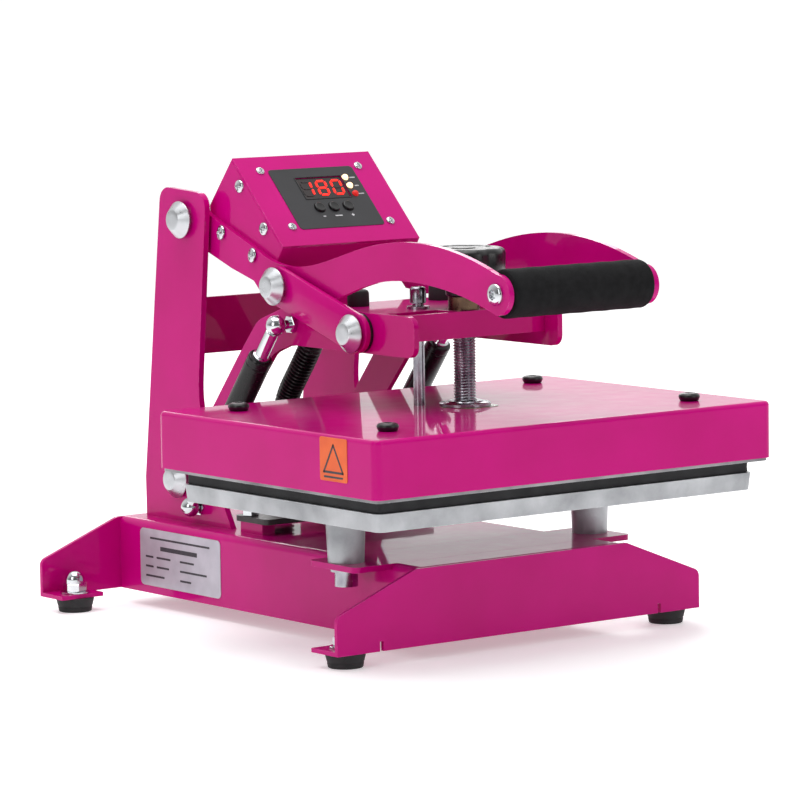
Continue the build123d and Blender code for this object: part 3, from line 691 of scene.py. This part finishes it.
def make_keys():
    for word, x in KEY_PLACES.items():
        key = Build()
        key.lathe(on_panel(x, 34, -6.4), [(0, 0), (0, 1.8), (2.4, 1.8), (2.4, 5.5), (4.6, 5.5), (4.6, 4.2),
                                          (7.6, 4.2), (8.1, 4.0), (8.35, 3.5), (8.2, 2.4), (8.05, 0)], 48)
        key.done(f"{word}_key_cap", KEYS, f"{word}_key", "grey_plastic", [f"{word}_button"], 32)


# ---- labels ----

def make_labels():
    side = facing((-90.8, 347, 37), (-1, 0, 0))
    plate = Build()
    plate.slab(side, rounded(102, 42, 4, 8), 0.0, 0.55, 0.15)
    plate.done("rating_plate_blank", PLATE, "frame", "label", ["rating_plate"], 30)
    ink = Build()
    rows = (((-38, 38),), ((-25, 22),), ((-44, -34), (-30, -12), (0, 18)),
            ((-44, -34), (-30, -14), (0, 34)), ((-44, -20), (0, 14)))
    for row, spans in enumerate(rows):
        up = 14.5 - 7.0 * row
        tall = 3.2 if row == 1 else 1.5
        for a, b in spans:
            ink.slab(side @ Matrix.Translation(((a + b) / 2, up, 0)), rounded(b - a, tall, 0.4, 2), 0.5, 0.6)
    ink.done("rating_plate_bars", INK, "frame", "label", (), 30)
    place = facing((-173, 46, 145.5), (-1, 0, 0))
    film = Build()
    film.slab(place, rounded(30, 29, 1.6, 6), 0.0, 0.5, 0.12)
    film.done("heat_label_plain", ORANGE, "platen", "label", ["heat_label"], 30)
    sign = Build()
    outer = [(0, 9.5), (-10.5, -8.5), (10.5, -8.5)]
    for i in range(3):
        a, b = Vector(outer[i]), Vector(outer[(i + 1) % 3])
        along = (b - a).normalized()
        across = Vector((-along.y, along.x)) * 0.75
        past = along * 0.6
        strip = [a + across - past, b + across + past, b - across + past, a - across - past]
        sign.slab(place, [tuple(v) for v in strip], 0.45, 0.6)
    sign.slab(place @ Matrix.Translation((0, -11.7, 0)), rounded(21, 1.3, 0.3, 2), 0.45, 0.58)
    sign.done("heat_label_triangle", INK, "platen", "label", (), 30)


# ---- cables ----

def route_line(name, route):
    """Points along the NURBS curve that has the route's points as its control points."""
    curve = bpy.data.curves.new(name, "CURVE")
    curve.dimensions = "3D"
    spline = curve.splines.new("NURBS")
    spline.points.add(len(route) - 1)
    for point, place in zip(spline.points, route):
        point.co = (*at(*place), 1.0)
    spline.order_u = 3
    spline.use_endpoint_u = True
    spline.resolution_u = 24
    obj = bpy.data.objects.new(name, curve)
    bpy.context.scene.collection.objects.link(obj)
    bpy.context.view_layer.update()
    mesh = bpy.data.meshes.new_from_object(obj)
    points = [v.co.copy() for v in mesh.vertices]
    bpy.data.objects.remove(obj)
    bpy.data.meshes.remove(mesh)
    return points


def resample(points, step):
    out = [points[0]]
    left = step
    for a, b in zip(points, points[1:]):
        gap = (b - a).length
        done = 0.0
        while gap - done >= left:
            done += left
            out.append(a.lerp(b, done / gap))
            left = step
        left -= gap - done
    if (out[-1] - points[-1]).length > step * 0.2:
        out.append(points[-1])
    return out


def tube_mesh(points, radius_at, count):
    rings = []
    side = Vector((1, 0, 0))
    for i, point in enumerate(points):
        ahead = points[min(i + 1, len(points) - 1)] - points[max(i - 1, 0)]
        ahead.normalize()
        side = (side - ahead * side.dot(ahead)).normalized()
        up = ahead.cross(side)
        r = radius_at(i)
        rings.append([point + (side * math.cos(a) + up * math.sin(a)) * r
                      for a in (2 * math.pi * j / count for j in range(count))])
    build = Build()
    build.ring_stack(rings)
    return build.verts, build.faces


CONDUIT = [(0, 345, 56), (0, 347, 100), (0, 341, 148), (0, 318, 176), (0, 300, 200), (0, 302, 235),
           (0, 305, 258)]
LEAD = [(40, 266, 134), (40, 266, 104), (40, 322, 92), (40, 322, 56)]


def make_cables():
    line = resample(route_line("conduit_line", CONDUIT), 0.00075)
    wave = (8.75, 8.7, 7.0, 6.8)
    verts, faces = tube_mesh(line, lambda i: wave[i % 4] / 1000, 40)
    conduit = piece("corrugated_conduit", verts, faces, BLACK, "frame", (), 50)
    conduit.parent = None
    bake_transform(conduit)
    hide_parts("control_conduit")
    lead_line = resample(route_line("lead_line", LEAD), 0.002)
    verts, faces = tube_mesh(lead_line, lambda i: 0.004, 24)
    lead = piece("heater_cable", verts, faces, BLACK, "frame", (), 60)
    lead.parent = None
    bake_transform(lead)
    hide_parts("heater_lead")


# ---- camera, floor and light ----

def make_camera():
    yaw, pitch, roll = math.radians(37.28), math.radians(6.11), math.radians(0.82)
    forward = Vector((math.sin(yaw) * math.cos(pitch), math.cos(yaw) * math.cos(pitch), -math.sin(pitch)))
    level = forward.cross(Vector((0, 0, 1))).normalized()
    up = level.cross(forward)
    right = level * math.cos(roll) - up * math.sin(roll)
    up = level * math.sin(roll) + up * math.cos(roll)
    data = bpy.data.cameras.new("camera")
    data.lens = 195.86
    data.sensor_width = 36
    data.clip_end = 50
    camera = bpy.data.objects.new("camera", data)
    camera.matrix_world = (Matrix.Translation(at(-1856.9, -2238.7, 488.1))
                           @ Matrix((right, up, -forward)).transposed().to_4x4())
    bpy.context.scene.collection.objects.link(camera)
    bpy.context.scene.camera = camera


def area_light(name, place, aim, size, power, colour=(1, 1, 1)):
    data = bpy.data.lights.new(name, "AREA")
    data.shape = "RECTANGLE"
    data.size, data.size_y = size
    data.energy = power
    data.color = colour
    light = bpy.data.objects.new(name, data)
    light.location = place
    light.rotation_euler = (Vector(aim) - Vector(place)).to_track_quat("-Z", "Y").to_euler()
    bpy.context.scene.collection.objects.link(light)


def make_stage():
    mesh = bpy.data.meshes.new("floor")
    mesh.from_pydata([(-30, -30, 0), (30, -30, 0), (30, 30, 0), (-30, 30, 0)], [], [(0, 1, 2, 3)])
    floor = bpy.data.objects.new("floor", mesh)
    bpy.context.scene.collection.objects.link(floor)
    m = Nodes("floor")
    tone = m.mix(m.span(m.noise(3.0), 0.3, 0.7, 0, 1), (0.84, 0.84, 0.85, 1), (0.88, 0.88, 0.88, 1))
    m.put(m.shader, "Base Color", tone)
    m.put(m.shader, "Roughness", m.span(m.noise(8.0), 0.3, 0.7, 0.5, 0.62))
    m.put(m.shader, "Emission Color", tone)
    m.put(m.shader, "Emission Strength", 0.42)
    mesh.materials.append(m.mat)
    make_sky()
    area_light("top_box", (-0.2, 0.1, 1.7), (0, 0, 0.1), (1.4, 1.4), 18)
    area_light("left_box", (-1.9, -0.6, 0.9), (0, 0, 0.15), (0.9, 1.2), 7)
    area_light("front_box", (0.5, -2.0, 0.9), (0, 0, 0.15), (0.9, 1.2), 7)
    area_light("rear_box", (1.2, 1.8, 1.2), (0, 0, 0.15), (1.2, 1.0), 12)
    bpy.context.scene.view_settings.view_transform = "Standard"


def make_sky():
    """A white studio that is brighter behind and above the object than in front of it."""
    world = bpy.data.worlds.new("studio")
    world.use_nodes = True
    tree = world.node_tree
    way = tree.nodes.new("ShaderNodeTexCoord").outputs["Generated"]
    dot = tree.nodes.new("ShaderNodeVectorMath")
    dot.operation = "DOT_PRODUCT"
    dot.inputs[1].default_value = (0.45, 0.62, 0.64)
    tree.links.new(way, dot.inputs[0])
    span = tree.nodes.new("ShaderNodeMapRange")
    span.interpolation_type = "SMOOTHSTEP"
    for key, number in (("From Min", -0.35), ("From Max", 0.75), ("To Min", 0.16), ("To Max", 0.95)):
        span.inputs[key].default_value = number
    tree.links.new(dot.outputs["Value"], span.inputs["Value"])
    tree.links.new(span.outputs[0], tree.nodes["Background"].inputs[1])
    tree.nodes["Background"].inputs[0].default_value = (1, 1, 1, 1)
    bpy.context.scene.world = world


make_camera()
make_cables()
make_links()
make_caps()
make_springs()
make_screw()
make_knob()
make_platen_hardware()
make_lever_screws()
make_feet()
make_soft_parts()
make_display()
make_keys()
make_labels()
make_stage()
